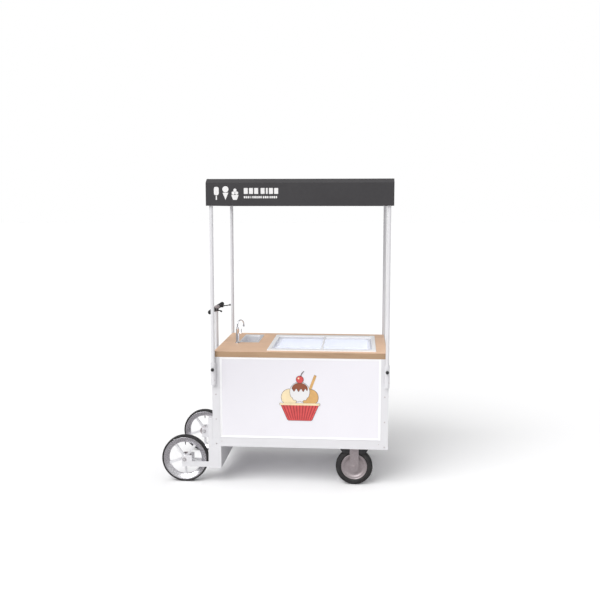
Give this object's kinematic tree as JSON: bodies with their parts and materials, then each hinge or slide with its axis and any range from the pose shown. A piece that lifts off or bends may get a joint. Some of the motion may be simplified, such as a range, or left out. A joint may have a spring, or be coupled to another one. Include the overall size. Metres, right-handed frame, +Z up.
{
  "type": "push vending cart",
  "caption": "Push vending cart: white cabinet with a wooden worktop, sliding-lid freezer and sink, a dark canopy on poles, spoked wheels and swivel casters.",
  "frame": {"origin": "on the ground, midway along the overall length (wheels to canopy) and midway across the depth", "axes": "+X along the cart away from the handle, +Y from the customer's side towards the operator's side, +Z up"},
  "size_m": [1.564, 0.9, 2.06],
  "materials": {
    "white_paint": "satin white powder coat on steel",
    "panel_white": "smooth white coated sheet",
    "wood": "oiled light oak",
    "liner_white": "gloss white moulding",
    "lid_glass": "clear tempered glass with white edge trims",
    "sink_steel": "brushed stainless steel",
    "chrome": "polished chrome",
    "zinc": "zinc-plated steel",
    "black_plastic": "semi-gloss black moulding",
    "black_metal": "black enamel",
    "grip_rubber": "soft black rubber",
    "tyre_rubber": "black tyre rubber",
    "rim_silver": "silver-white lacquered alloy",
    "canopy_grey": "matt dark grey coated sheet",
    "can_plastic": "translucent white polyethylene"
  },
  "bodies": {
    "cabinet": {"base_frame": "white_paint", "floor_panel": "panel_white", "corner_post_front_left": "white_paint", "corner_post_front_right": "white_paint", "corner_post_back_left": "white_paint", "corner_post_back_right": "white_paint", "front_panel": "panel_white", "left_panel": "panel_white", "right_panel": "panel_white", "worktop": "wood", "freezer_liner": "liner_white", "freezer_rim": "liner_white", "compressor": "black_metal", "sink_basin": "sink_steel", "fresh_water_can": "can_plastic", "waste_water_can": "can_plastic", "faucet_body": "chrome", "pole_sleeve_front_left": "white_paint", "pole_sleeve_front_right": "white_paint", "pole_sleeve_back_left": "white_paint", "pole_sleeve_back_right": "white_paint", "axle_carrier": "white_paint", "wheel_fork_front": "white_paint", "wheel_fork_back": "white_paint", "brake_drum_front": "zinc", "brake_drum_back": "zinc", "handle_post": "white_paint", "handlebar": "zinc", "handle_grip_front": "grip_rubber", "handle_grip_back": "grip_rubber", "caster_plate_front": "zinc", "caster_plate_back": "zinc"},
    "door_left": {"door_left": "panel_white"},
    "door_right": {"door_right": "panel_white"},
    "lid_left": {"lid_glass_left": "lid_glass"},
    "lid_right": {"lid_glass_right": "lid_glass"},
    "spout": {"faucet_spout": "chrome"},
    "tap_lever": {"faucet_lever": "chrome"},
    "knob_front_left": {"clamp_knob_front_left": "black_plastic"},
    "knob_front_right": {"clamp_knob_front_right": "black_plastic"},
    "knob_back_left": {"clamp_knob_back_left": "black_plastic"},
    "knob_back_right": {"clamp_knob_back_right": "black_plastic"},
    "canopy": {"pole_front_left": "white_paint", "pole_front_right": "white_paint", "pole_back_left": "white_paint", "pole_back_right": "white_paint", "canopy_cover": "canopy_grey", "canopy_frame": "white_paint"},
    "wheel_front": {"wheel_rim_front": "rim_silver", "wheel_tyre_front": "tyre_rubber"},
    "wheel_back": {"wheel_rim_back": "rim_silver", "wheel_tyre_back": "tyre_rubber"},
    "brake_lever_front": {"brake_lever_front": "black_plastic"},
    "brake_lever_back": {"brake_lever_back": "black_plastic"},
    "swivel_front": {"caster_fork_front": "zinc"},
    "swivel_back": {"caster_fork_back": "zinc"},
    "caster_wheel_front": {"caster_rim_front": "zinc", "caster_tyre_front": "tyre_rubber"},
    "caster_wheel_back": {"caster_rim_back": "zinc", "caster_tyre_back": "tyre_rubber"}
  },
  "joints": [
    {"name": "door_left_hinge", "type": "hinge", "parent": "cabinet", "child": "door_left", "pos_m": [-0.369, 0.399, 0.6], "axis": [0, 0, 1], "range_deg": [0, 110]},
    {"name": "door_right_hinge", "type": "hinge", "parent": "cabinet", "child": "door_right", "pos_m": [0.713, 0.399, 0.6], "axis": [0, 0, 1], "range_deg": [-110, 0]},
    {"name": "lid_left_slide", "type": "slide", "parent": "cabinet", "child": "lid_left", "axis": [1, 0, 0], "range_m": [0, 0.33]},
    {"name": "lid_right_slide", "type": "slide", "parent": "cabinet", "child": "lid_right", "axis": [1, 0, 0], "range_m": [-0.33, 0]},
    {"name": "spout_swivel", "type": "hinge", "parent": "cabinet", "child": "spout", "pos_m": [-0.296, -0.062, 1.03], "axis": [0, 0, 1], "range_deg": [-90, 90]},
    {"name": "tap_lever_turn", "type": "hinge", "parent": "cabinet", "child": "tap_lever", "pos_m": [-0.28, -0.062, 0.988], "axis": [1, 0, 0], "range_deg": [0, 85]},
    {"name": "knob_front_left_turn", "type": "hinge", "parent": "cabinet", "child": "knob_front_left", "pos_m": [-0.408, -0.43, 0.799], "axis": [0, 1, 0], "range_deg": [0, 360]},
    {"name": "knob_front_right_turn", "type": "hinge", "parent": "cabinet", "child": "knob_front_right", "pos_m": [0.752, -0.43, 0.799], "axis": [0, 1, 0], "range_deg": [0, 360]},
    {"name": "knob_back_left_turn", "type": "hinge", "parent": "cabinet", "child": "knob_back_left", "pos_m": [-0.408, 0.43, 0.799], "axis": [0, 1, 0], "range_deg": [-360, 0]},
    {"name": "knob_back_right_turn", "type": "hinge", "parent": "cabinet", "child": "knob_back_right", "pos_m": [0.752, 0.43, 0.799], "axis": [0, 1, 0], "range_deg": [-360, 0]},
    {"name": "canopy_height", "type": "slide", "parent": "cabinet", "child": "canopy", "axis": [0, 0, 1], "range_m": [-0.4, 0.05]},
    {"name": "wheel_front_spin", "type": "hinge", "parent": "cabinet", "child": "wheel_front", "pos_m": [-0.6215, -0.343, 0.1605], "axis": [0, 1, 0], "continuous": true},
    {"name": "wheel_back_spin", "type": "hinge", "parent": "cabinet", "child": "wheel_back", "pos_m": [-0.6215, 0.343, 0.1605], "axis": [0, 1, 0], "continuous": true},
    {"name": "brake_lever_front_pull", "type": "hinge", "parent": "cabinet", "child": "brake_lever_front", "pos_m": [-0.431, -0.098, 1.16], "axis": [0, 0, 1], "range_deg": [-22, 0], "stiffness_Nm_per_rad": 1, "springref_deg": 5.73},
    {"name": "brake_lever_back_pull", "type": "hinge", "parent": "cabinet", "child": "brake_lever_back", "pos_m": [-0.431, 0.098, 1.16], "axis": [0, 0, 1], "range_deg": [0, 22], "stiffness_Nm_per_rad": 1, "springref_deg": -5.73},
    {"name": "caster_front_swivel", "type": "hinge", "parent": "cabinet", "child": "swivel_front", "pos_m": [0.579, -0.326, 0.28], "axis": [0, 0, 1], "continuous": true},
    {"name": "caster_back_swivel", "type": "hinge", "parent": "cabinet", "child": "swivel_back", "pos_m": [0.579, 0.326, 0.28], "axis": [0, 0, 1], "continuous": true},
    {"name": "caster_front_spin", "type": "hinge", "parent": "swivel_front", "child": "caster_wheel_front", "pos_m": [0.539, -0.326, 0.125], "axis": [0, 1, 0], "continuous": true},
    {"name": "caster_back_spin", "type": "hinge", "parent": "swivel_back", "child": "caster_wheel_back", "pos_m": [0.539, 0.326, 0.125], "axis": [0, 1, 0], "continuous": true}
  ]
}
